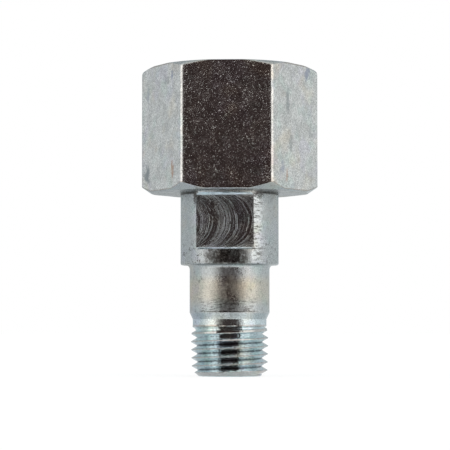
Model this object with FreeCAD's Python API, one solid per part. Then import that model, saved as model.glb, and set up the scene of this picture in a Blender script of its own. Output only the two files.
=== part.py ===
import FreeCAD, Part
import math
import os

# Swivel gauge adapter: a turned stem with a male taper thread, and a hexagon nut that turns on its upper end.
# Millimetres. The origin is the centre of the stem's lower end face, and +Z points to the gauge.
# The two wrench flats on the stem face -Y and +Y.

# Taper thread at the stem's lower end. Its crests are a plain cone here.
passage_diameter = 5.0
end_face_diameter = 10.8
end_chamfer_angle = 40.0
end_mouth_chamfer = 0.3
taper_thread_diameter = 13.25
taper_on_diameter = 1 / 16
taper_thread_length = 9.0
taper_thread_back_cone_length = 2.75

# Turned steps above the taper thread
neck_diameter = 12.9
neck_length = 0.93
neck_cone_angle = 25.0
barrel_diameter = 14.0
barrel_length = 8.3
shoulder_fillet_share = 0.45
shoulder_chamfer_share = 0.17

# Shank that carries the nut, with two wrench flats
shank_diameter = 17.2
shank_length_below_nut = 12.6
stem_above_nut_floor = 0.5
stem_top_chamfer = 0.3
flat_width_across = 14.0
flat_height = 9.85
flat_gap_below_nut = 0.15
flat_lower_fillet = 0.5
flat_upper_fillet = 1.2
spigot_recess_diameter = 6.6
spigot_recess_depth = 3.0

# Swivel nut
hexagon_across_flats = 27.0
hexagon_corner_radius = 0.6
nut_height = 22.05
nut_turn = 4.6
nut_lower_face_diameter = 27.6
nut_lower_chamfer_angle = 34.0
nut_upper_face_diameter = 27.4
nut_upper_chamfer_angle = 20.0
nut_floor = 6.0
nut_bore_lead_in = 0.25
running_gap = 0.15

# Straight gauge thread in the nut. Its crests are a plain bore here.
gauge_thread_bore = 18.63
gauge_thread_relief_diameter = 21.3
gauge_thread_relief_length = 3.0
gauge_thread_mouth_diameter = 21.6

# Split ring of square spring wire that holds the nut on the shank, half in each of two grooves
ring_wire_width = 1.6
ring_wire_broken_edge = 0.4
ring_opening_angle = 24.0
ring_gap_in_nut = 0.05
ring_side_gap = 0.15
ring_height_above_nut_base = 2.9

# Flat sealing washer under the gauge
washer_diameter = 17.5
washer_hole_diameter = 6.2
washer_thickness = 2.0
washer_edge_chamfer = 0.2

# The shoulder between barrel and shank has a fillet inside and a chamfer outside, as shares of its step
shoulder_step = (shank_diameter - barrel_diameter) / 2
shoulder_fillet = shoulder_fillet_share * shoulder_step
shoulder_chamfer = shoulder_chamfer_share * shoulder_step

# Heights above the lower end face
neck_top = taper_thread_length + neck_length
cone_rise = (barrel_diameter - neck_diameter) / 2 / math.tan(math.radians(neck_cone_angle))
barrel_base = neck_top + cone_rise
shoulder_height = barrel_base + barrel_length
nut_base = shoulder_height + shank_length_below_nut
nut_top = nut_base + nut_height
nut_floor_top = nut_base + nut_floor
stem_top = nut_floor_top + stem_above_nut_floor
flat_top = nut_base - flat_gap_below_nut
flat_base = flat_top - flat_height
ring_height = nut_base + ring_height_above_nut_base

# Radii that two pieces share
nut_bore_radius = shank_diameter / 2 + running_gap
ring_centre_radius = nut_bore_radius
ring_wire_half = ring_wire_width / 2

ORIGIN = FreeCAD.Vector(0, 0, 0)
UP = FreeCAD.Vector(0, 0, 1)


def turned(outline, angle=360):
    """Solid of revolution about Z from (radius, height) corners."""
    points = [FreeCAD.Vector(radius, 0, height) for radius, height in outline]
    face = Part.Face(Part.makePolygon(points + points[:1]))
    return face.revolve(ORIGIN, UP, angle)


def round_edges_at(solid, radius, height, fillet):
    """Fillet on the circular edges that have this radius and height."""
    edges = []
    for edge in solid.Edges:
        if not isinstance(edge.Curve, Part.Circle):
            continue
        same_radius = abs(edge.Curve.Radius - radius) < 1e-6
        same_height = abs(edge.Curve.Center.z - height) < 1e-6
        if same_radius and same_height:
            edges.append(edge)
    return solid.makeFillet(fillet, edges)


def taper_radius(height):
    """Crest radius of the taper thread at a height."""
    return (taper_thread_diameter + taper_on_diameter * height) / 2


def end_chamfer_top():
    """Radius and height where the end chamfer meets the cone of the thread crests."""
    slope = math.tan(math.radians(end_chamfer_angle))
    end_radius = end_face_diameter / 2
    height = (taper_radius(0) - end_radius) / (slope - taper_on_diameter / 2)
    return taper_radius(height), height


def stem_outline():
    """Outside of the stem, from the lower end face to the sealing face."""
    back_cone_base = taper_thread_length - taper_thread_back_cone_length
    shank_radius = shank_diameter / 2
    groove_radius = shank_radius - ring_wire_width - ring_side_gap
    groove_half = ring_wire_half + ring_side_gap
    return [
        (0, 0),
        (end_face_diameter / 2, 0),
        end_chamfer_top(),
        (taper_radius(back_cone_base), back_cone_base),
        (neck_diameter / 2, taper_thread_length),
        (neck_diameter / 2, neck_top),
        (barrel_diameter / 2, barrel_base),
        (barrel_diameter / 2, shoulder_height),
        (shank_radius - shoulder_chamfer, shoulder_height),
        (shank_radius, shoulder_height + shoulder_chamfer),
        (shank_radius, ring_height - groove_half),
        (groove_radius, ring_height - groove_half),
        (groove_radius, ring_height + groove_half),
        (shank_radius, ring_height + groove_half),
        (shank_radius, stem_top - stem_top_chamfer),
        (shank_radius - stem_top_chamfer, stem_top),
        (0, stem_top),
    ]


def passage():
    """Pressure passage through the stem, with the recess for the gauge's centring spigot."""
    recess_base = stem_top - spigot_recess_depth
    drill_point = (spigot_recess_diameter - passage_diameter) / 2
    return turned([
        (0, 0),
        (passage_diameter / 2 + end_mouth_chamfer, 0),
        (passage_diameter / 2, end_mouth_chamfer),
        (passage_diameter / 2, recess_base - drill_point),
        (spigot_recess_diameter / 2, recess_base),
        (spigot_recess_diameter / 2, stem_top),
        (0, stem_top),
    ])


def flat_cutter(side):
    """Block that mills one wrench flat, rounded at both ends; side is -1 for the front and 1 for the back."""
    depth = shank_diameter - flat_width_across
    near = flat_width_across / 2 if side > 0 else -flat_width_across / 2 - depth
    corner = FreeCAD.Vector(-shank_diameter, near, flat_base)
    block = Part.makeBox(2 * shank_diameter, depth, flat_height, corner)
    for height, fillet in ((flat_base, flat_lower_fillet), (flat_top, flat_upper_fillet)):
        end_edges = []
        for edge in block.Edges:
            on_floor = all(abs(abs(v.Y) - flat_width_across / 2) < 1e-6 for v in edge.Vertexes)
            at_end = all(abs(v.Z - height) < 1e-6 for v in edge.Vertexes)
            if on_floor and at_end:
                end_edges.append(edge)
        block = block.makeFillet(fillet, end_edges)
    return block


def stem():
    """Turned stem in one piece, from the taper thread to the sealing face inside the nut."""
    body = turned(stem_outline())
    body = round_edges_at(body, barrel_diameter / 2, shoulder_height, shoulder_fillet)
    return body.cut([passage(), flat_cutter(-1), flat_cutter(1)])


def hexagon_bar():
    """Hexagon bar with slightly rounded corners, turned a little from one flat facing -Y."""
    corner_radius = hexagon_across_flats / math.sqrt(3)
    corners = []
    for step in range(6):
        angle = math.radians(60 * step + nut_turn)
        across = corner_radius * math.cos(angle)
        along = corner_radius * math.sin(angle)
        corners.append(FreeCAD.Vector(across, along, nut_base))
    bar = Part.Face(Part.makePolygon(corners + corners[:1])).extrude(UP * nut_height)
    upright = [edge for edge in bar.Edges if abs(edge.tangentAt(edge.FirstParameter).z) > 0.5]
    return bar.makeFillet(hexagon_corner_radius, upright)


def nut_turning_envelope():
    """Double cone that turns the chamfers on both ends of the hexagon."""
    reach = hexagon_across_flats
    lower = nut_lower_face_diameter / 2
    upper = nut_upper_face_diameter / 2
    lower_rise = (reach - lower) * math.tan(math.radians(nut_lower_chamfer_angle))
    upper_drop = (reach - upper) * math.tan(math.radians(nut_upper_chamfer_angle))
    return turned([
        (0, nut_base),
        (lower, nut_base),
        (reach, nut_base + lower_rise),
        (reach, nut_top - upper_drop),
        (upper, nut_top),
        (0, nut_top),
    ])


def nut_inside():
    """Everything that is bored out of the nut: shank bore, thread relief, gauge thread and its mouth."""
    relief_radius = gauge_thread_relief_diameter / 2
    thread_radius = gauge_thread_bore / 2
    mouth_radius = gauge_thread_mouth_diameter / 2
    relief_top = nut_floor_top + gauge_thread_relief_length
    return turned([
        (0, nut_base),
        (nut_bore_radius + nut_bore_lead_in, nut_base),
        (nut_bore_radius, nut_base + nut_bore_lead_in),
        (nut_bore_radius, nut_floor_top - nut_bore_lead_in),
        (nut_bore_radius + nut_bore_lead_in, nut_floor_top),
        (relief_radius, nut_floor_top),
        (relief_radius, relief_top),
        (thread_radius, relief_top + relief_radius - thread_radius),
        (thread_radius, nut_top - mouth_radius + thread_radius),
        (mouth_radius, nut_top),
        (0, nut_top),
    ])


def ring_shape(gap, angle):
    """Square wire with broken edges, grown by a gap all round and bent about Z at the grooves."""
    half = ring_wire_half + gap
    flat = half - ring_wire_broken_edge
    section = [(-half, -flat), (-flat, -half), (flat, -half), (half, -flat)]
    section += [(half, flat), (flat, half), (-flat, half), (-half, flat)]
    return turned([(ring_centre_radius + across, ring_height + up) for across, up in section], angle)


def swivel_nut():
    """Hexagon nut with its gauge thread upwards."""
    ring_groove = ring_shape(ring_gap_in_nut, 360)
    return hexagon_bar().common(nut_turning_envelope()).cut([nut_inside(), ring_groove])


def retaining_ring():
    """Split ring, with its opening at the back."""
    ring = ring_shape(0, 360 - ring_opening_angle)
    ring.rotate(ORIGIN, UP, 90 + ring_opening_angle / 2)
    return ring


def sealing_washer():
    """Flat washer on the stem's sealing face."""
    outer = washer_diameter / 2
    inner = washer_hole_diameter / 2
    top = stem_top + washer_thickness
    return turned([
        (inner, stem_top),
        (outer - washer_edge_chamfer, stem_top),
        (outer, stem_top + washer_edge_chamfer),
        (outer, top - washer_edge_chamfer),
        (outer - washer_edge_chamfer, top),
        (inner, top),
    ])


pieces = {
    "stem": stem,
    "swivel_nut": swivel_nut,
    "retaining_ring": retaining_ring,
    "sealing_washer": sealing_washer,
}

os.makedirs("parts", exist_ok=True)
for name, make in pieces.items():
    piece = make()
    piece.exportStep(f"parts/{name}.step")
    print(name, len(piece.Solids), piece.isValid(), round(piece.Volume, 2))
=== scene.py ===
# Looks of the swivel gauge adapter: finely turned pieces with real threads, and their plated finishes.
# Sizes are millimetres up to the mesh, which is in metres like the frame.
import math
from types import SimpleNamespace

import bmesh
import bpy
from mathutils import Euler, Matrix, Vector


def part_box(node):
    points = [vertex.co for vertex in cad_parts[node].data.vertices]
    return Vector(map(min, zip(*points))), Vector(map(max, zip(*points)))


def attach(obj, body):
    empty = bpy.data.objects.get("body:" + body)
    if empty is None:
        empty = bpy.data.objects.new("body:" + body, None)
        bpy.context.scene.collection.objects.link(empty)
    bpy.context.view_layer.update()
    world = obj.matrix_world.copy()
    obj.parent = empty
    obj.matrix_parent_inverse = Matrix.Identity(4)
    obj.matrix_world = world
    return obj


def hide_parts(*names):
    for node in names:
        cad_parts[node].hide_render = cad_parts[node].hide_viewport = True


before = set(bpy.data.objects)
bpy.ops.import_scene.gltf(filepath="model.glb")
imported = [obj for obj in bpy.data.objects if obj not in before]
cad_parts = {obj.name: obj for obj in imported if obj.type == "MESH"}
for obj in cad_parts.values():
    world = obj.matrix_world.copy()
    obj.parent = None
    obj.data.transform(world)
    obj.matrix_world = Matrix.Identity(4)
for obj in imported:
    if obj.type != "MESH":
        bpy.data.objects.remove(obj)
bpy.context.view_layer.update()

MM = 0.001


def height_range(node):
    """Lowest and highest point of a node, in millimetres."""
    low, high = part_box(node)
    return low.z / MM, high.z / MM


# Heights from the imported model
stem_bottom, stem_top = height_range("stem")
nut_base, nut_top = height_range("swivel_nut")
ring_base, ring_top = height_range("retaining_ring")
washer_base, washer_top = height_range("sealing_washer")
ring_height = (ring_base + ring_top) / 2

# Camera, fitted to the photograph's outlines: lens and sensor in mm, and a near and a far limit in metres
camera_turn = math.radians(6.8)
camera_distance = 359.5
camera_aside = -0.807
camera_height = 8.99
camera_tilt = math.radians(2.788)
camera_lens = 163.8
camera_sensor = 36
camera_limits = (0.01, 20)

# Floor: its side in metres, and how strongly and how much of it glows for the camera
floor_size = 3.0
floor_glow = 1.11
floor_glow_share = 0.75

# Stem sizes
passage_radius = 2.5
passage_mouth_chamfer = 0.3
end_face_radius = 5.4
end_chamfer_slope = math.tan(math.radians(40))
neck_radius = 6.45
neck_length = 0.93
neck_fillet = 0.2
neck_cone_slope = math.tan(math.radians(25))
barrel_edge_round = 0.25
barrel_radius = 7.0
barrel_length = 8.3
shank_radius = 8.6
shoulder_fillet = 0.72
shoulder_edge_round = 0.3
flat_distance = 7.0
flat_height = 9.85
flat_gap_below_nut = 0.15
spigot_recess_radius = 3.3
spigot_recess_depth = 3.0
stem_top_chamfer = 0.3
ring_groove_radius = 6.85
ring_groove_half = 0.95

# Ramps at the ends of the wrench flats: depth and height each, and how much they curve
flat_lower_ramp = (0.19, 0.32)
flat_upper_ramp = (0.34, 0.42)
flat_ramp_curve = 1.2

# Taper thread: 18 turns to the inch, right-hand, its crests on a cone that narrows to the neck at its top.
# One crest passes through taper_crest_height at taper_crest_angle.
taper_pitch = 25.4 / 18
taper_crest_radius = 6.625
taper_slope = 1 / 32
taper_depth = 1.08
taper_base = 0.12
taper_length = 9.0
taper_back_cone_base = 6.25
taper_run_out_base = 7.5
taper_run_out_depth = 0.2
taper_run_out_curve = 1.5
taper_crest_height = 6.0
taper_crest_angle = math.radians(186.8)
taper_crest_rounding = 0.012
taper_root_rounding = 0.04

# Nut sizes
hexagon_distance = 13.5
hexagon_corner_distance = 15.45
hexagon_corner_crown_radius = 1.5
nut_turn = math.radians(4.6)
nut_lower_face_radius = 13.8
nut_lower_slope = math.tan(math.radians(34))
nut_lower_edge = 0.18
nut_upper_face_radius = 13.7
nut_upper_slope = math.tan(math.radians(17.5))
nut_upper_corner_round = 0.8
nut_upper_full_round_drop = 0.5
nut_upper_edge = 0.05
nut_floor = 6.0
nut_bore_radius = 8.75
nut_bore_lead_in = 0.25
nut_groove_radius = 9.6
nut_groove_half = 0.85
relief_radius = 10.65
relief_length = 3.0
relief_fillet = 0.24
mouth_radius = 10.8

# Gauge thread: 14 turns to the inch, right-hand, with round crests and roots
gauge_pitch = 25.4 / 14
gauge_crest_radius = 9.315
gauge_root_radius = 10.478
gauge_flank_steepness = 0.25

# Ring and washer
ring_inner_radius = 7.95
ring_outer_radius = 9.55
ring_edge = 0.4
ring_opening = math.radians(24)
washer_hole_radius = 3.1
washer_radius = 8.75
washer_edge = 0.2

# Heights that follow from these sizes
neck_top = taper_length + neck_length
barrel_base = neck_top + (barrel_radius - neck_radius) / neck_cone_slope
shoulder_height = barrel_base + barrel_length
flat_top = nut_base - flat_gap_below_nut
flat_base = flat_top - flat_height
nut_floor_top = nut_base + nut_floor
relief_top = nut_floor_top + relief_length

# Traces of making and use, the end mill's radius and the height of the barrel's warmer band; and where
# across the stem its dark marks and the painted shadow under the nut have their middle
cutter_radius = 4.75
warm_height = 15.0
dark_middle = 0.4

# Fineness of the meshes: columns, sharp turns and the widest facet in degrees, least_turn in radians,
# and the rest in mm, shares or counts
column_step = 2.0
flat_edge_columns = (0, 0.5, 1.2, 2.2, 3.6, 5.5)
round_steps = 4
round_share = 0.45
ramp_steps = 4
rows_per_turn = 20
edge_round = 0.08
sharp_turn = 24
merge_distance = 2e-4
sliver_length = 1e-4
tiny = 1e-6
least_turn = 1e-4
widest_facet = 6
halvings = 40
least_step = 1e-9

# What tells a face's finish: how near it lies to a surface (mm), and the part of its normal along an axis
near = 0.1
very_near = 0.03
square_to_axis = 0.999
nearly_upright = 0.2

# Marks and patches of painted shadow: how uneven their outline is, and how large their darkest middle, as
# shares of their reach
patch_unevenness = 0.45
patch_middle = 0.3


def round_corner(before, corner, after, radius):
    """Points of a section's rounded corner: always round_steps + 1, and all alike on a straight run."""
    to_before = before - corner
    to_after = after - corner
    shortest = min(to_before.length, to_after.length)
    if shortest < tiny:
        return [corner] * (round_steps + 1)
    to_before.normalize()
    to_after.normalize()
    half_turn = (math.pi - to_before.angle(to_after)) / 2
    reach = min(radius * math.tan(half_turn), round_share * shortest)
    if reach < tiny or half_turn < least_turn:
        return [corner] * (round_steps + 1)
    real_radius = reach / math.tan(half_turn)
    middle = (to_before + to_after).normalized()
    centre = corner + middle * real_radius / math.cos(half_turn)
    start = corner + to_before * reach - centre
    end = corner + to_after * reach - centre
    whole = 2 * half_turn
    points = []
    for step in range(round_steps + 1):
        part = step / round_steps
        from_start = math.sin((1 - part) * whole) / math.sin(whole)
        from_end = math.sin(part * whole) / math.sin(whole)
        points.append(centre + start * from_start + end * from_end)
    return points


def rounded(section):
    """Closed section of (radius, height) points, where a third number is the rounding of that corner."""
    points = []
    for index, item in enumerate(section):
        corner = Vector(item[:2])
        if len(item) == 2:
            points.append(corner)
            continue
        before = Vector(section[index - 1][:2])
        after = Vector(section[(index + 1) % len(section)][:2])
        points.extend(round_corner(before, corner, after, item[2]))
    return points


def build_turned(name, angles, section_at, thread_rows=None, is_ring=True):
    """Mesh object from one closed section per angle.

    A thread's rows are (first, last, turn): after a full turn, each meets the row that is turn rows on.
    """
    sections = [rounded(section_at(angle)) for angle in angles]
    rows = len(sections[0])
    partner = list(range(rows))
    if thread_rows:
        first, last, turn = thread_rows
        for row in range(first, last + 1):
            partner[row] = min(max(row + turn, first), last)
    same = list(range(rows))
    mesh = bmesh.new()
    grid = []
    for angle, section in zip(angles, sections):
        across = math.cos(angle) * MM
        along = math.sin(angle) * MM
        grid.append([mesh.verts.new((point.x * across, point.x * along, point.y * MM)) for point in section])
    columns = len(angles) if is_ring else len(angles) - 1
    for column in range(columns):
        here = grid[column]
        beside = grid[(column + 1) % len(angles)]
        other = partner if column == len(angles) - 1 else same
        for row in range(rows):
            above = (row + 1) % rows
            corners = (here[row], beside[other[row]], beside[other[above]], here[above])
            mesh.faces.new(dict.fromkeys(corners))
    if not is_ring:
        mesh.faces.new(grid[0])
        mesh.faces.new(grid[-1][::-1])
    bmesh.ops.remove_doubles(mesh, verts=mesh.verts, dist=merge_distance * MM)
    bmesh.ops.dissolve_degenerate(mesh, edges=mesh.edges, dist=sliver_length * MM)
    bmesh.ops.recalc_face_normals(mesh, faces=mesh.faces)
    data = bpy.data.meshes.new(name)
    mesh.to_mesh(data)
    mesh.free()
    data.shade_smooth()
    data.set_sharp_from_angle(angle=math.radians(sharp_turn))
    piece = bpy.data.objects.new(name, data)
    bpy.context.scene.collection.objects.link(piece)
    return piece


def even_angles(step):
    """Angles of a full turn in radians, about a step of degrees apart."""
    count = round(360 / step)
    return [2 * math.pi * index / count for index in range(count)]


def soft_least(first, second, rounding):
    """Smaller of two numbers, with a rounded change from one to the other."""
    nearest = min(first, second)
    apart = abs(first - second)
    return nearest - rounding * math.log(1 + math.exp(-apart / rounding))


def soft_most(first, second, rounding):
    """Larger of two numbers, with a rounded change from one to the other."""
    return -soft_least(-first, -second, rounding)


def thread_heights(angle, low, high, pitch):
    """Heights of a thread's rows at an angle, with the height that each row would have at angle zero."""
    count = math.ceil((high - low + pitch) / pitch * rows_per_turn)
    heights = []
    for row in range(count + 1):
        unwound = low - pitch + row * pitch / rows_per_turn
        height = unwound + pitch * angle / (2 * math.pi)
        heights.append((unwound, min(max(height, low), high)))
    return heights


def from_crest(unwound, crest, pitch):
    """Distance along the axis to the nearest crest."""
    turns = (unwound - crest) / pitch
    return abs(turns - round(turns)) * pitch


def taper_envelope(height):
    """Radius of the taper thread's crests: end chamfer, cone and back cone."""
    chamfer = end_face_radius + height / end_chamfer_slope
    cone = taper_crest_radius + taper_slope * height
    top_radius = taper_crest_radius + taper_slope * taper_back_cone_base
    back = (height - taper_back_cone_base) / (taper_length - taper_back_cone_base)
    back_cone = top_radius + (neck_radius - top_radius) * back
    return min(chamfer, cone, back_cone)


def taper_thread_radius(unwound, height):
    """Radius of the taper thread's surface, a 60 degree groove that runs out at the neck."""
    crest = taper_crest_height - taper_pitch * taper_crest_angle / (2 * math.pi)
    cone = taper_crest_radius + taper_slope * min(height, taper_back_cone_base)
    sharp_height = taper_pitch / 2 * math.sqrt(3)
    truncation = (sharp_height - taper_depth) / 2
    flank = cone + truncation - from_crest(unwound, crest, taper_pitch) * math.sqrt(3)
    run_out = (height - taper_run_out_base) / (taper_length - taper_run_out_base)
    shallower = min(max(run_out, 0), 1) ** taper_run_out_curve
    root = cone - taper_depth - (taper_run_out_depth - taper_depth) * shallower
    grooved = soft_most(flank, root, taper_root_rounding)
    return soft_least(grooved, taper_envelope(height), taper_crest_rounding)


def taper_thread_rows(angle):
    """Section points of the taper thread at one angle."""
    rows = []
    for unwound, height in thread_heights(angle, taper_base, taper_length, taper_pitch):
        at_end = height in (taper_base, taper_length)
        radius = taper_envelope(height) if at_end else taper_thread_radius(unwound, height)
        rows.append((radius, height))
    return rows


def flat_end_rows(angle, end, inward, ramp):
    """Section points of one end of a wrench flat: edge, ledge and ramp, which has a depth and a height.

    inward is 1 at the lower end and -1 at the upper one.
    """
    depth, height = ramp
    aside = abs(math.sin(angle))
    most = min(max((shank_radius * aside - flat_distance) / depth, 0.0), 1.0)
    rows = [(shank_radius, end + inward * height * (1 - most), edge_round)]
    for step in range(ramp_steps + 1):
        share = most * (1 - step / ramp_steps)
        out = (flat_distance + depth * share) / max(aside, tiny)
        rows.append((min(out, shank_radius), end + inward * height * (1 - share) ** flat_ramp_curve))
    return rows


def stem_section(angle):
    """Closed section of the stem at one angle, round its outside and back down its passage."""
    recess_base = stem_top - spigot_recess_depth
    drill_base = recess_base - (spigot_recess_radius - passage_radius)
    section = [
        (passage_radius, passage_mouth_chamfer, edge_round),
        (passage_radius + passage_mouth_chamfer, stem_bottom, edge_round),
        (end_face_radius, stem_bottom, edge_round),
    ]
    section += taper_thread_rows(angle)
    section += [
        (neck_radius, neck_top, neck_fillet),
        (barrel_radius, barrel_base, barrel_edge_round),
        (barrel_radius, shoulder_height, shoulder_fillet),
        (shank_radius, shoulder_height, shoulder_edge_round),
    ]
    section += flat_end_rows(angle, flat_base, 1, flat_lower_ramp)
    section += flat_end_rows(angle, flat_top, -1, flat_upper_ramp)[::-1]
    section += [
        (shank_radius, ring_height - ring_groove_half, edge_round),
        (ring_groove_radius, ring_height - ring_groove_half, edge_round),
        (ring_groove_radius, ring_height + ring_groove_half, edge_round),
        (shank_radius, ring_height + ring_groove_half, edge_round),
        (shank_radius, stem_top - stem_top_chamfer, edge_round),
        (shank_radius - stem_top_chamfer, stem_top, edge_round),
        (spigot_recess_radius, stem_top, edge_round),
        (spigot_recess_radius, recess_base, edge_round),
        (passage_radius, drill_base, edge_round),
    ]
    return section


def stem_angles():
    """Columns of the stem, closer together where the wrench flats begin."""
    angles = even_angles(column_step)
    flat_edge = math.asin(flat_distance / shank_radius)
    for inside in flat_edge_columns:
        edge = flat_edge + math.radians(inside)
        angles += [edge, math.pi - edge, math.pi + edge, 2 * math.pi - edge]
    return sorted(angles)


def hexagon_radius(angle):
    """Distance of the nut's outside from its axis: six flats, and a slightly crowned facet per corner."""
    sector = math.pi / 3
    from_flat = abs((angle - nut_turn) % sector - sector / 2)
    from_corner = sector / 2 - from_flat
    flat = hexagon_distance / math.cos(from_flat)
    aside = hexagon_corner_distance * math.tan(from_corner)
    if aside > hexagon_corner_crown_radius / 2:
        return flat
    crowned = hexagon_corner_distance - aside ** 2 / (2 * hexagon_corner_crown_radius)
    return min(flat, crowned / math.cos(from_corner))


def corner_facet_edge():
    """Angle from a corner at which its facet meets the flat, found by halving."""
    low = 0.0
    high = math.radians(widest_facet / 2)
    for _ in range(halvings):
        middle = (low + high) / 2
        flat = hexagon_distance / math.cos(math.pi / 6 - middle)
        if hexagon_radius(nut_turn + middle) < flat - least_step:
            low = middle
        else:
            high = middle
    return high


def nut_angles():
    """Columns of the nut, closer together at its corners, with one at zero where the thread's turns meet."""
    facet_edge = corner_facet_edge()
    offsets = [-facet_edge, -facet_edge / 2, 0.0, facet_edge / 2, facet_edge]
    sector = math.pi / 3
    count = round(math.degrees(sector) / column_step)
    for step in range(1, count):
        offsets.append(facet_edge + (sector - 2 * facet_edge) * step / count)
    angles = [0.0]
    for corner in range(6):
        angles += [(corner * sector + nut_turn + offset) % (2 * math.pi) for offset in offsets]
    return sorted(angles)


def gauge_thread_rows(angle):
    """Section points of the nut's inside thread at one angle, from its mouth down to the relief."""
    rows = []
    for unwound, height in thread_heights(angle, relief_top, nut_top - edge_round, gauge_pitch):
        wave = math.cos(2 * math.pi * unwound / gauge_pitch)
        share = 0.5 - 0.5 * wave * (1 + gauge_flank_steepness - gauge_flank_steepness * wave ** 2)
        groove = gauge_crest_radius + (gauge_root_radius - gauge_crest_radius) * share
        mouth = mouth_radius - (nut_top - height)
        runout = relief_radius - (height - relief_top)
        rows.append((max(groove, mouth, runout), height))
    return rows[::-1]


def nut_section(angle):
    """Closed section of the nut at one angle, up its outside and back down its inside."""
    outside = hexagon_radius(angle)
    lower_rise = max((outside - nut_lower_face_radius) * nut_lower_slope, nut_lower_edge)
    lower_radius = min(nut_lower_face_radius, outside - nut_lower_edge)
    upper_drop = max((outside - nut_upper_face_radius) * nut_upper_slope, nut_upper_edge)
    upper_radius = min(nut_upper_face_radius, outside - nut_upper_edge)
    round_part = min(upper_drop / nut_upper_full_round_drop, 1)
    upper_round = edge_round + (nut_upper_corner_round - edge_round) * round_part
    section = [
        (lower_radius, nut_base, nut_lower_edge),
        (outside, nut_base + lower_rise, nut_lower_edge),
        (outside, nut_top - upper_drop, upper_round),
        (upper_radius, nut_top, edge_round),
        (mouth_radius, nut_top, edge_round),
    ]
    section += gauge_thread_rows(angle)
    section += [
        (relief_radius, nut_floor_top, relief_fillet),
        (nut_bore_radius + nut_bore_lead_in, nut_floor_top, edge_round),
        (nut_bore_radius, nut_floor_top - nut_bore_lead_in, edge_round),
        (nut_bore_radius, ring_height + nut_groove_half, edge_round),
        (nut_groove_radius, ring_height + nut_groove_half, ring_edge),
        (nut_groove_radius, ring_height - nut_groove_half, ring_edge),
        (nut_bore_radius, ring_height - nut_groove_half, edge_round),
        (nut_bore_radius, nut_base + nut_bore_lead_in, edge_round),
        (nut_bore_radius + nut_bore_lead_in, nut_base, edge_round),
    ]
    return section


def ring_section(angle):
    """Closed section of the split ring's square wire."""
    return [
        (ring_inner_radius, ring_base, ring_edge),
        (ring_outer_radius, ring_base, ring_edge),
        (ring_outer_radius, ring_top, ring_edge),
        (ring_inner_radius, ring_top, ring_edge),
    ]


def washer_section(angle):
    """Closed section of the sealing washer."""
    return [
        (washer_hole_radius, washer_base, edge_round),
        (washer_radius, washer_base, washer_edge),
        (washer_radius, washer_top, washer_edge),
        (washer_hole_radius, washer_top, edge_round),
    ]


def thread_span(section_at, rows_at, turn):
    """First and last row of a thread among the rows of the whole section, and the rows of one turn.

    The thread's rows are found in the section as it is at angle zero.
    """
    section = section_at(0.0)
    thread = rows_at(0.0)
    first = next(index for index in range(len(section)) if section[index:index + len(thread)] == thread)
    before = sum(round_steps + 1 if len(item) == 3 else 1 for item in section[:first])
    return before, before + len(thread) - 1, turn


class Nodes:
    """A node tree, with short ways to add and join its nodes."""

    def __init__(self, tree):
        self.tree = tree

    def node(self, kind, inputs=None, **settings):
        made = self.tree.nodes.new("ShaderNode" + kind)
        for setting, value in settings.items():
            setattr(made, setting, value)
        for key, value in (inputs or {}).items():
            self.join(value, made.inputs[key])
        return made

    def join(self, value, socket):
        if isinstance(value, bpy.types.NodeSocket):
            self.tree.links.new(value, socket)
        else:
            socket.default_value = value

    def maths(self, operation, first, second=0.0):
        return self.node("Math", {0: first, 1: second}, operation=operation).outputs["Value"]

    def apart(self, first, second):
        """Distance between two numbers."""
        return self.maths("ABSOLUTE", self.maths("SUBTRACT", first, second))

    def total(self, first, *others):
        """Numbers added together."""
        for other in others:
            first = self.maths("ADD", first, other)
        return first

    def product(self, first, *others):
        """Numbers multiplied together."""
        for other in others:
            first = self.maths("MULTIPLY", first, other)
        return first

    def largest(self, first, *others):
        """Largest of several numbers."""
        for other in others:
            first = self.maths("MAXIMUM", first, other)
        return first

    def band(self, value, low, high, to_low=0.0, to_high=1.0):
        """Smooth change from one number to another as a value goes from low to high."""
        made = self.node("MapRange", {"Value": value, "From Min": low, "From Max": high,
                                      "To Min": to_low, "To Max": to_high}, interpolation_type="SMOOTHSTEP")
        return made.outputs["Result"]

    def mix(self, share, first, second, blend="MIX"):
        made = self.node("Mix", data_type="RGBA", blend_type=blend)
        self.join(share, made.inputs["Factor"])
        self.join(first, made.inputs["A"])
        self.join(second, made.inputs["B"])
        return made.outputs["Result"]

    def scaled(self, tint, share):
        """Colour times a number."""
        return self.node("VectorMath", {0: tint, "Scale": share}, operation="SCALE").outputs["Vector"]

    def uneven(self, tint, noise, darkest, lightest):
        """Colour times a number that follows a noise through the range where most of it lies."""
        return self.scaled(tint, self.band(noise, 0.36, 0.64, darkest, lightest))

    def parts(self, vector):
        """X, Y and Z of a vector."""
        return self.node("SeparateXYZ", {"Vector": vector}).outputs

    def noise(self, places, scale, detail=2.0, roughness=0.5, distortion=0.0):
        made = self.node("TexNoise", {"Vector": places, "Scale": scale, "Detail": detail,
                                      "Roughness": roughness, "Distortion": distortion})
        return made.outputs["Fac"]


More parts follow.
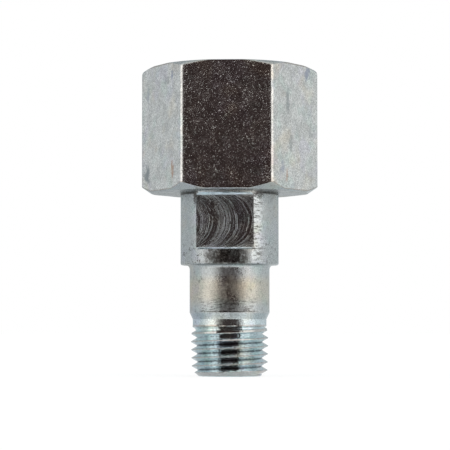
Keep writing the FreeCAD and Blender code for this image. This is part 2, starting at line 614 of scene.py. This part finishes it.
class Shader(Nodes):
    """A metal finish, with the places on the piece in millimetres."""

    def __init__(self, name):
        self.material = bpy.data.materials.new(name)
        self.material.use_nodes = True
        super().__init__(self.material.node_tree)
        self.surface = self.tree.nodes["Principled BSDF"]

    def places(self, stretch=(1, 1, 1)):
        """Object coordinates in millimetres, times a stretch."""
        coordinates = self.node("TexCoord").outputs["Object"]
        scale = tuple(part / MM for part in stretch)
        return self.node("Mapping", {"Vector": coordinates, "Scale": scale}).outputs["Vector"]

    def radius(self, parts):
        """Distance from the axis."""
        flat_places = self.node("CombineXYZ", {"X": parts["X"], "Y": parts["Y"]}).outputs["Vector"]
        return self.node("VectorMath", {0: flat_places}, operation="LENGTH").outputs["Value"]

    def mark(self, places, middle, across, along, wobble):
        """Share of one mark, or of one patch of painted shadow, about a middle: its reach across and along
        the axis, with an uneven outline.
        """
        offset = self.node("VectorMath", {0: places, 1: middle}, operation="SUBTRACT").outputs["Vector"]
        even = self.node("VectorMath", {0: offset, 1: (1, 1, across / along)}, operation="MULTIPLY")
        distance = self.node("VectorMath", {0: even.outputs["Vector"]}, operation="LENGTH").outputs["Value"]
        out_by = patch_unevenness * across
        distance = self.total(distance, self.band(wobble, 0.3, 0.7, -out_by, out_by))
        return self.band(distance, across, patch_middle * across)

    def bump(self, height, distance, before=None):
        """Normal from a height from 0 to 1 and its distance in millimetres."""
        inputs = {"Height": height, "Distance": distance * MM}
        if before:
            inputs["Normal"] = before
        return self.node("Bump", inputs).outputs["Normal"]

    def finish(self, tint, roughness, normal):
        self.join(tint, self.surface.inputs["Base Color"])
        self.join(roughness, self.surface.inputs["Roughness"])
        self.join(normal, self.surface.inputs["Normal"])
        self.surface.inputs["Metallic"].default_value = 1.0
        return self.material


def colour(red, green, blue):
    return (red, green, blue, 1.0)


# Colours of the plated faces, and tints that multiply them
HEXAGON = colour(0.575, 0.575, 0.560)
TURNED = colour(0.405, 0.430, 0.435)
RAMP = colour(0.54, 0.61, 0.66)
WARM = colour(1.10, 0.99, 0.85)
COOL = colour(0.93, 1.00, 1.03)
VIOLET = colour(0.99, 0.97, 1.04)
GREEN = colour(0.95, 1.01, 0.99)

# Colours on the threads: lighter upper flanks and darker lower flanks as painted light and shade, painted
# shadow in the roots, and the crests
LIT_UPPER_FLANK = colour(0.77, 0.81, 0.82)
SHADED_LOWER_FLANK = colour(0.49, 0.58, 0.61)
ROOT_SHADOW = colour(0.20, 0.24, 0.26)
CREST = colour(0.46, 0.46, 0.45)

# Colours of specks, marks and edges; the darkest also paints the shadow under the nut
SPECK = colour(0.97, 0.95, 0.92)
BLUE_MARK = colour(0.24, 0.27, 0.36)
GREY_MARK = colour(0.25, 0.27, 0.28)
BROWN_MARK = colour(0.42, 0.27, 0.19)
BURNT_EDGE = colour(0.27, 0.22, 0.185)
PIT_AND_SHADOW = colour(0.055, 0.05, 0.045)

# Two shades each of the ring's wire and of the washer
WIRE = (colour(0.36, 0.36, 0.37), colour(0.50, 0.50, 0.51))
COPPER = (colour(0.85, 0.48, 0.33), colour(0.58, 0.28, 0.19))

# Colours of the studio: the tent that the metal mirrors, and the backdrop and the floor that the camera sees
TENT_LEFT = colour(0.72, 0.76, 0.78)
TENT_RIGHT = colour(0.84, 0.88, 0.89)
TENT_BEHIND = colour(0.48, 0.53, 0.55)
TENT_BRIGHT = colour(1.60, 1.56, 1.52)
TENT_TOP = colour(0.74, 0.80, 0.82)
TENT_OPENING = colour(0.055, 0.038, 0.037)
WHITE = colour(1, 1, 1)
FLOOR = colour(0.9, 0.9, 0.9)

# Single marks on the hexagon's faces: middle, reach across and along the axis (mm), colour, strength
HEXAGON_MARKS = (
    ((-8.6, -11.3, 51.6), 0.9, 1.2, BLUE_MARK, 0.95),
    ((-9.6, -10.0, 51.0), 1.2, 1.2, GREY_MARK, 0.35),
    ((-8.6, -11.3, 35.9), 0.75, 1.9, BROWN_MARK, 0.9),
    ((-14.1, -3.2, 35.2), 1.3, 2.1, GREY_MARK, 1.0),
    ((-13.9, -3.7, 48.9), 0.8, 1.5, BLUE_MARK, 0.4),
    ((11.0, -8.2, 48.0), 0.7, 2.6, GREY_MARK, 0.6),
    ((11.5, -7.3, 40.0), 0.7, 3.0, GREY_MARK, 0.5),
    ((13.9, -2.2, 52.7), 1.0, 1.8, BLUE_MARK, 0.7),
    ((10.9, -8.5, 34.9), 0.6, 1.7, BROWN_MARK, 0.8),
    ((10.3, -9.7, 35.6), 0.9, 1.8, BLUE_MARK, 0.55),
    ((14.3, -1.2, 44.0), 1.0, 3.0, GREY_MARK, 0.35),
)

# Patches of painted shadow on the shank just under the nut: middle, reach across and along the axis (mm)
SHANK_SHADOW_PATCHES = (
    ((6.0, -6.2, 31.6), 1.3, 1.0),
    ((-5.25, -6.8, 31.2), 0.5, 2.2),
)


def tinted(shader, places, plate):
    """Plate colour with faint yellow, violet and green tints in soft patches."""
    warm = shader.band(shader.noise(places, scale=0.21, detail=2.0), 0.50, 0.72, 0.0, 0.6)
    violet = shader.band(shader.noise(places, scale=0.26, detail=2.0, distortion=0.6), 0.50, 0.70)
    green = shader.band(shader.noise(places, scale=0.33, detail=1.0), 0.50, 0.70)
    tint = shader.mix(warm, plate, WARM, "MULTIPLY")
    tint = shader.mix(violet, tint, VIOLET, "MULTIPLY")
    return shader.mix(green, tint, GREEN, "MULTIPLY")


def burnt_edges(shader, parts, tint):
    """Colour of a hexagon's face with a darker line where each chamfer cuts it."""
    out = shader.radius(parts)
    above = shader.maths("SUBTRACT", parts["Z"], nut_base)
    below = shader.maths("SUBTRACT", nut_top, parts["Z"])
    ends = ((above, nut_lower_face_radius, nut_lower_slope, nut_lower_edge),
            (below, nut_upper_face_radius, nut_upper_slope, nut_upper_edge))
    for height, face_radius, slope, edge in ends:
        cone = shader.product(shader.maths("SUBTRACT", out, face_radius), slope)
        from_edge = shader.maths("SUBTRACT", height, shader.largest(cone, edge))
        tint = shader.mix(shader.band(from_edge, 0.06, 0.30, 0.75, 0.0), tint, BURNT_EDGE)
    return tint


def hexagon_plating():
    """Plating on the drawn hexagon: grain, bright specks, soft clouds, marks, and edges of burnt colour."""
    shader = Shader("hexagon_plating")
    places = shader.places()
    grain = shader.noise(places, scale=4.8, detail=3.0, roughness=0.75)
    cloud = shader.noise(places, scale=0.5, detail=3.0, roughness=0.6, distortion=0.6)
    salt = shader.noise(places, scale=3.2, detail=2.0, roughness=0.9)
    speck = shader.band(shader.noise(places, scale=4.6, detail=2.0, roughness=0.9), 0.65, 0.71)
    speck = shader.product(speck, shader.band(cloud, 0.36, 0.56, 0.45, 1.0))

    tint = tinted(shader, places, HEXAGON)
    tint = shader.uneven(tint, grain, 0.82, 1.18)
    tint = shader.uneven(tint, salt, 0.76, 1.24)
    tint = shader.uneven(tint, cloud, 0.88, 1.09)
    tint = shader.mix(shader.product(speck, 0.7), tint, SPECK)
    for middle, across, along, stain, strength in HEXAGON_MARKS:
        share = shader.mark(places, middle, across, along, cloud)
        tint = shader.mix(shader.product(share, strength), tint, stain)
    tint = burnt_edges(shader, shader.parts(places), tint)
    rough = shader.total(shader.band(grain, 0.3, 0.7, 0.12, 0.22), shader.band(cloud, 0.35, 0.65, 0.0, 0.06),
                         shader.band(salt, 0.50, 0.66, 0.0, 0.10), shader.product(speck, 0.62))
    normal = shader.bump(grain, 0.025)
    return shader.finish(tint, rough, shader.bump(speck, 0.02, normal))


def turned_zones(shader, parts):
    """Shares of the places on the stem that have a look of their own, with their limits in millimetres."""
    height = parts["Z"]
    aside = shader.apart(parts["X"], dark_middle)
    below_nut = shader.band(height, nut_base + 0.02, nut_base - 0.02)
    in_front = shader.product(below_nut, shader.band(parts["Y"], 0.0, -1.0))
    threaded_end = shader.band(height, barrel_base, barrel_base - 0.3)
    rest = shader.maths("SUBTRACT", 1.0, threaded_end)
    barrel = shader.product(shader.band(height, shoulder_height, shoulder_height - 0.2), rest)
    above_shoulder = shader.band(height, shoulder_height - 0.1, shoulder_height + 0.1)
    foot = shader.product(shader.band(height, flat_base + 3.5, flat_base - 0.5), above_shoulder)
    under_flat = shader.product(foot, shader.band(height, flat_base + 0.2, flat_base - 0.1), in_front)
    flat_side = shader.product(shader.band(parts["X"], 4.5, 4.9), shader.band(parts["X"], 7.0, 5.6))
    beside_flat = shader.product(flat_side, shader.band(height, shoulder_height, shoulder_height + 0.8),
                                 in_front)
    low_barrel = shader.product(shader.band(height, barrel_base + 4.0, barrel_base + 1.0),
                                shader.band(height, barrel_base, barrel_base + 0.1),
                                shader.band(aside, 5.2, 4.4, 0.0, 0.75))
    from_line = shader.apart(height, barrel_base + 0.16)
    low_line = shader.product(shader.band(from_line, 0.14, 0.04), shader.band(aside, 5.4, 4.4))
    # Painted shadow of the nut on the shank just under it, beside the flat
    painted_nut_shadow = shader.product(shader.band(height, nut_base - 0.5, nut_base - 0.25),
                             shader.band(aside, 4.8, 5.6, 0.0, 0.9), below_nut)
    stained = shader.product(shader.band(aside, 4.4, 3.0), under_flat)
    return SimpleNamespace(below_nut=below_nut, threaded_end=threaded_end, rest=rest, barrel=barrel,
                           foot=foot, beside_flat=beside_flat, low_barrel=low_barrel, low_line=low_line,
                           painted_nut_shadow=painted_nut_shadow, stained=stained)


def turned_marks_and_shadow(shader, places, zones, patch, mottle):
    """Share of dark marks and painted shadow on turned faces: flecks, stain, streaks, a line at one edge,
    and painted shadow under the nut in a band and single patches.
    """
    blotch = shader.noise(places, scale=1.3, detail=4.0, roughness=0.75)
    streak = shader.noise(shader.places((0.55, 0.55, 2.8)), scale=1.4, detail=4.0, roughness=0.75)
    often = shader.largest(shader.band(patch, 0.45, 0.60, 0.05, 0.5), zones.foot)
    flecks = shader.product(shader.band(blotch, 0.56, 0.62, 0.0, 0.85), often)
    stain = shader.product(shader.band(blotch, 0.36, 0.54, 0.25, 0.9), zones.stained)
    low_line = shader.product(shader.band(mottle, 0.35, 0.55, 0.2, 0.8), zones.low_line)
    streaks = shader.product(shader.band(streak, 0.51, 0.58, 0.0, 0.9),
                             shader.largest(zones.beside_flat, zones.low_barrel))
    dark = shader.largest(flecks, stain, low_line, streaks, zones.painted_nut_shadow)
    # Patches of painted shadow just under the nut
    for middle, across, along in SHANK_SHADOW_PATCHES:
        share = shader.mark(places, middle, across, along, mottle)
        dark = shader.largest(dark, shader.product(share, zones.below_nut, 0.9))
    return dark


def turned_plating():
    """Plating on turned faces: marks that run round, uneven gloss, a warmer barrel, dark marks, and painted
    shadow under the nut.
    """
    shader = Shader("turned_plating")
    places = shader.places()
    parts = shader.parts(places)
    height = parts["Z"]
    marks = shader.noise(shader.places((0.3, 0.3, 2.2)), scale=3.2, detail=3.0, roughness=0.6)
    mottle = shader.noise(places, scale=3.0, detail=3.0, roughness=0.75)
    speckle = shader.noise(places, scale=4.8, detail=2.0, roughness=0.85)
    patch = shader.noise(shader.places((1, 1, 0.8)), scale=0.55, detail=3.0, roughness=0.6)
    zones = turned_zones(shader, parts)

    tint = tinted(shader, places, TURNED)
    tint = shader.uneven(tint, speckle, 0.78, 1.22)
    tint = shader.mix(zones.threaded_end, tint, COOL, "MULTIPLY")
    tint = shader.scaled(tint, shader.band(height, neck_top + 0.15, neck_top - 0.1, 1.0, 1.45))
    tint = shader.scaled(tint, shader.band(zones.barrel, 0.0, 1.0, 1.0, 1.1))
    tint = shader.scaled(tint, shader.band(zones.beside_flat, 0.0, 1.0, 1.0, 1.38))
    warmth = shader.band(shader.apart(height, warm_height), 3.2, 1.0, 0.0, 0.9)
    tint = shader.mix(warmth, tint, WARM, "MULTIPLY")
    # Dark marks, and the painted shadow under the nut, in the darkest colour
    tint = shader.mix(turned_marks_and_shadow(shader, places, zones, patch, mottle), tint, PIT_AND_SHADOW)

    rough = shader.total(shader.band(patch, 0.35, 0.65, 0.22, 0.33),
                         shader.band(speckle, 0.5, 0.7, 0.0, 0.24), shader.product(zones.barrel, 0.035))
    end_rough = shader.band(patch, 0.35, 0.65, 0.24, 0.32)
    rough = shader.total(shader.product(rough, zones.rest), shader.product(end_rough, zones.threaded_end))
    normal = shader.bump(marks, 0.015)
    normal = shader.bump(shader.product(mottle, shader.largest(zones.rest, 0.4)), 0.06, normal)
    return shader.finish(tint, rough, normal)


def thread_plating(name, crests, depth, outwards):
    """Plating on a thread: painted light on the upper flanks and painted shade on the lower ones, painted
    shadow in the roots, and dull crests.

    The crests lie on lines, each a radius at height zero and its growth per mm of height.
    outwards is 1 for a thread on the outside of a piece and -1 for one on the inside.
    """
    shader = Shader(name)
    places = shader.places()
    parts = shader.parts(places)
    lines = [shader.total(shader.product(parts["Z"], growth), start) for start, growth in crests]
    crest = lines[0]
    for line in lines[1:]:
        crest = shader.maths("MINIMUM" if outwards > 0 else "MAXIMUM", crest, line)
    deep = shader.product(shader.maths("SUBTRACT", crest, shader.radius(parts)), outwards / depth)
    mottle = shader.noise(places, scale=3.4, detail=3.0, roughness=0.7)
    wavy = shader.total(deep, shader.band(mottle, 0.3, 0.7, -0.08, 0.08))
    facing_up = shader.parts(shader.node("TexCoord").outputs["Normal"])["Z"]
    # Painted light and shade: flanks that face up are lighter, flanks that face down darker
    tint = shader.mix(shader.band(facing_up, -0.4, 0.4), SHADED_LOWER_FLANK, LIT_UPPER_FLANK)
    # Painted shadow along the thread's roots
    tint = shader.mix(shader.band(wavy, 0.86, 0.96), tint, ROOT_SHADOW)
    tint = shader.mix(shader.band(wavy, 0.20, 0.08), tint, CREST)
    tint = shader.uneven(tinted(shader, places, tint), mottle, 0.88, 1.12)
    rough = shader.band(mottle, 0.35, 0.65, 0.08, 0.18)
    ripple = shader.noise(shader.places((1, 1, 0.1)), scale=1.6, detail=2.0, roughness=0.6)
    return shader.finish(tint, rough, shader.bump(mottle, 0.003, shader.bump(ripple, 0.045)))


def milled_plating():
    """Plating on the wrench flats, with the arcs that the end mill left."""
    shader = Shader("milled_plating")
    places = shader.places()
    parts = shader.parts(places)
    up = shader.maths("SUBTRACT", parts["Z"], flat_top - flat_height / 2)
    reach = shader.maths("SUBTRACT", cutter_radius ** 2, shader.product(up, up))
    wobble = shader.band(shader.noise(places, scale=0.5, detail=1.0), 0.3, 0.7, -0.1, 0.1)
    arc = shader.maths("SUBTRACT", parts["X"], shader.maths("SQRT", shader.largest(reach, 0.0)))
    arc = shader.total(arc, wobble)

    def along_arcs(scale, detail, roughness):
        made = shader.node("TexNoise", {"W": arc, "Scale": scale, "Detail": detail, "Roughness": roughness},
                           noise_dimensions="1D")
        return made.outputs["Fac"]

    marks = along_arcs(scale=7.0, detail=2.0, roughness=0.7)
    low_half = shader.product(shader.band(up, -2.5, 3.0, 1.0, 0.35),
                              shader.band(parts["X"], -1.0, 4.0, 1.0, 0.3))
    patch = shader.band(shader.noise(places, scale=0.75, detail=3.0, roughness=0.6), 0.38, 0.56)
    lines = shader.band(along_arcs(scale=5.0, detail=0.0, roughness=0.5), 0.63, 0.73)
    stroke = shader.product(lines, low_half, patch)
    grain = shader.noise(places, scale=4.5, detail=3.0, roughness=0.7)
    tint = tinted(shader, places, TURNED)
    tint = shader.scaled(tint, shader.band(grain, 0.3, 0.7, 0.85, 1.15))
    rough = shader.total(shader.band(marks, 0.35, 0.65, 0.11, 0.24),
                         shader.band(grain, 0.45, 0.65, 0.0, 0.08), shader.product(stroke, 0.65))
    normal = shader.bump(marks, 0.03)
    normal = shader.bump(grain, 0.02, normal)
    return shader.finish(tint, rough, shader.bump(stroke, 0.14, normal))


def ramp_plating():
    """Smooth bluish plating at the ends of the wrench flats."""
    shader = Shader("ramp_plating")
    marks = shader.noise(shader.places((0.4, 1, 3)), scale=2.0, detail=2.0, roughness=0.6)
    tint = shader.scaled(tinted(shader, shader.places(), RAMP), shader.band(marks, 0.35, 0.65, 0.7, 1.25))
    return shader.finish(tint, shader.band(marks, 0.3, 0.7, 0.10, 0.18), shader.bump(marks, 0.02))


def spring_wire():
    """Bright drawn wire with marks along it."""
    shader = Shader("spring_wire")
    marks = shader.noise(shader.places((1, 1, 6)), scale=1.4, detail=3.0)
    tint = shader.mix(marks, *WIRE)
    rough = shader.band(marks, 0.3, 0.7, 0.24, 0.36)
    return shader.finish(tint, rough, shader.bump(marks, 0.01))


def annealed_copper():
    """Soft copper with faint tarnish and handling marks."""
    shader = Shader("annealed_copper")
    places = shader.places()
    tarnish = shader.noise(places, scale=0.5, detail=4.0, roughness=0.6)
    marks = shader.noise(places, scale=4.0, detail=3.0)
    tint = shader.mix(shader.band(tarnish, 0.4, 0.65), *COPPER)
    rough = shader.band(marks, 0.3, 0.7, 0.28, 0.42)
    return shader.finish(tint, rough, shader.bump(marks, 0.01))


def assign(piece, materials, finish_of):
    """Gives a piece its materials, where finish_of(middle in mm, normal) is the number of a face's one."""
    for material in materials:
        piece.data.materials.append(material)
    for face in piece.data.polygons:
        face.material_index = finish_of(face.center / MM, face.normal)


def stem_finish(middle, normal):
    """0 for turned faces, 1 for the taper thread, 2 for the wrench flats, 3 for the ramps at their ends."""
    out = math.hypot(middle.x, middle.y)
    if edge_round < middle.z < taper_length and out > end_face_radius - near:
        return 1
    if not flat_base < middle.z < flat_top or out > shank_radius - very_near:
        return 0
    return 2 if abs(normal.y) > square_to_axis else 3


def nut_finish(middle, normal):
    """0 for the hexagon's drawn faces, 1 for turned faces, 2 for the gauge thread."""
    out = math.hypot(middle.x, middle.y)
    if out > hexagon_distance - near and abs(normal.z) < nearly_upright:
        return 0
    if out < gauge_root_radius + near and middle.z > relief_top:
        return 2
    return 1


def taper_plating():
    """Plating on the taper thread, whose crests lie on the cone, the end chamfer and the back cone."""
    back_cone_radius = taper_crest_radius + taper_slope * taper_back_cone_base
    back_slope = (neck_radius - back_cone_radius) / (taper_length - taper_back_cone_base)
    crests = ((taper_crest_radius, taper_slope), (end_face_radius, 1 / end_chamfer_slope),
              (neck_radius - back_slope * taper_length, back_slope))
    return thread_plating("taper_thread_plating", crests, taper_depth, 1)


def gauge_plating():
    """Plating on the gauge thread, whose crests lie on the bore, the mouth and the run-out to the relief."""
    crests = ((gauge_crest_radius, 0.0), (mouth_radius - nut_top, 1.0), (relief_radius + relief_top, -1.0))
    return thread_plating("gauge_thread_plating", crests, gauge_root_radius - gauge_crest_radius, -1)


def add_stem(turned):
    span = thread_span(stem_section, taper_thread_rows, rows_per_turn)
    stem = build_turned("stem_turned", stem_angles(), stem_section, span)
    assign(stem, [turned, taper_plating(), milled_plating(), ramp_plating()], stem_finish)
    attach(stem, "stem_body")
    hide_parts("stem")


def add_nut(turned):
    span = thread_span(nut_section, gauge_thread_rows, -rows_per_turn)
    nut = build_turned("nut_hexagon", nut_angles(), nut_section, span)
    assign(nut, [hexagon_plating(), turned, gauge_plating()], nut_finish)
    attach(nut, "nut_body")
    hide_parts("swivel_nut")


def add_ring():
    """Split ring, with its opening at the back."""
    start = (math.pi + ring_opening) / 2
    span = 2 * math.pi - ring_opening
    steps = round(math.degrees(span) / column_step)
    angles = [start + span * step / steps for step in range(steps + 1)]
    ring = build_turned("split_ring", angles, ring_section, is_ring=False)
    ring.data.materials.append(spring_wire())
    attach(ring, "nut_body")
    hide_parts("retaining_ring")


def add_washer():
    washer = build_turned("copper_washer", even_angles(column_step), washer_section)
    washer.data.materials.append(annealed_copper())
    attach(washer, "stem_body")
    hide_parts("sealing_washer")


def add_camera():
    data = bpy.data.cameras.new("camera")
    data.lens = camera_lens
    data.sensor_width = camera_sensor
    data.clip_start, data.clip_end = camera_limits
    camera = bpy.data.objects.new("camera", data)
    bpy.context.scene.collection.objects.link(camera)
    place = Vector((camera_aside, -camera_distance, camera_height)) * MM
    camera.location = Matrix.Rotation(camera_turn, 4, "Z") @ place
    camera.rotation_euler = Euler((math.pi / 2 + camera_tilt, 0, camera_turn))
    bpy.context.scene.camera = camera


def add_world():
    """White backdrop for the camera, and otherwise a pale tent with a dark opening on the camera's side."""
    world = bpy.data.worlds.new("studio")
    world.use_nodes = True
    bpy.context.scene.world = world
    world.node_tree.nodes.clear()
    studio = Nodes(world.node_tree)
    direction = studio.node("TexCoord").outputs["Generated"]
    to_view = {"Vector": direction, "Angle": -camera_turn}
    parts = studio.parts(studio.node("VectorRotate", to_view, rotation_type="Z_AXIS").outputs["Vector"])
    around = studio.maths("ARCTAN2", parts["X"], studio.product(parts["Y"], -1.0))
    height = studio.maths("ARCSINE", parts["Z"])
    steep = studio.maths("ABSOLUTE", height)

    def fade(value, low, high):
        """Smooth change from 0 to 1 between two angles in degrees."""
        return studio.band(value, math.radians(low), math.radians(high))

    def away(middle):
        """Angle round the object from a middle in degrees, where 0 is the camera's side."""
        return studio.apart(around, math.radians(middle))

    tent = studio.mix(fade(around, -60, 60), TENT_LEFT, TENT_RIGHT)
    behind = studio.product(fade(away(0), 135, 170), fade(height, -3.2, -1.6))
    tent = studio.mix(behind, tent, TENT_BEHIND)
    tent = studio.mix(fade(away(0), 72, 90), TENT_BRIGHT, tent)
    tent = studio.mix(fade(steep, 48, 68), tent, TENT_TOP)
    outside_opening = studio.largest(fade(away(-1.5), 36, 42), fade(steep, 36, 47))
    tent = studio.mix(outside_opening, TENT_OPENING, tent)

    to_camera = studio.node("LightPath").outputs["Is Camera Ray"]
    background = studio.node("Background", {"Color": studio.mix(to_camera, tent, WHITE)})
    studio.node("OutputWorld", {"Surface": background.outputs["Background"]})


def floor_finish():
    """Pale finish that keeps the object's soft shadow, and that the metal doesn't mirror."""
    material = bpy.data.materials.new("floor")
    material.use_nodes = True
    material.node_tree.nodes.clear()
    nodes = Nodes(material.node_tree)
    path = nodes.node("LightPath").outputs
    diffuse = nodes.node("BsdfDiffuse", {"Color": FLOOR}).outputs["BSDF"]
    glow = nodes.node("Emission", {"Color": WHITE, "Strength": floor_glow}).outputs["Emission"]
    clear = nodes.node("BsdfTransparent").outputs["BSDF"]
    shown = nodes.product(path["Is Camera Ray"], floor_glow_share)
    pale = nodes.node("MixShader", {0: shown, 1: diffuse, 2: glow}).outputs["Shader"]
    unseen = nodes.node("MixShader", {0: path["Is Glossy Ray"], 1: pale, 2: clear}).outputs["Shader"]
    nodes.node("OutputMaterial", {"Surface": unseen})
    return material


def add_floor():
    data = bpy.data.meshes.new("floor")
    half = floor_size / 2
    corners = [(-half, -half, 0), (half, -half, 0), (half, half, 0), (-half, half, 0)]
    data.from_pydata(corners, [], [(0, 1, 2, 3)])
    data.materials.append(floor_finish())
    floor = bpy.data.objects.new("floor", data)
    bpy.context.scene.collection.objects.link(floor)


add_camera()
add_world()
add_floor()
turned_finish = turned_plating()
add_stem(turned_finish)
add_nut(turned_finish)
add_ring()
add_washer()
bpy.context.scene.view_settings.view_transform = "Standard"
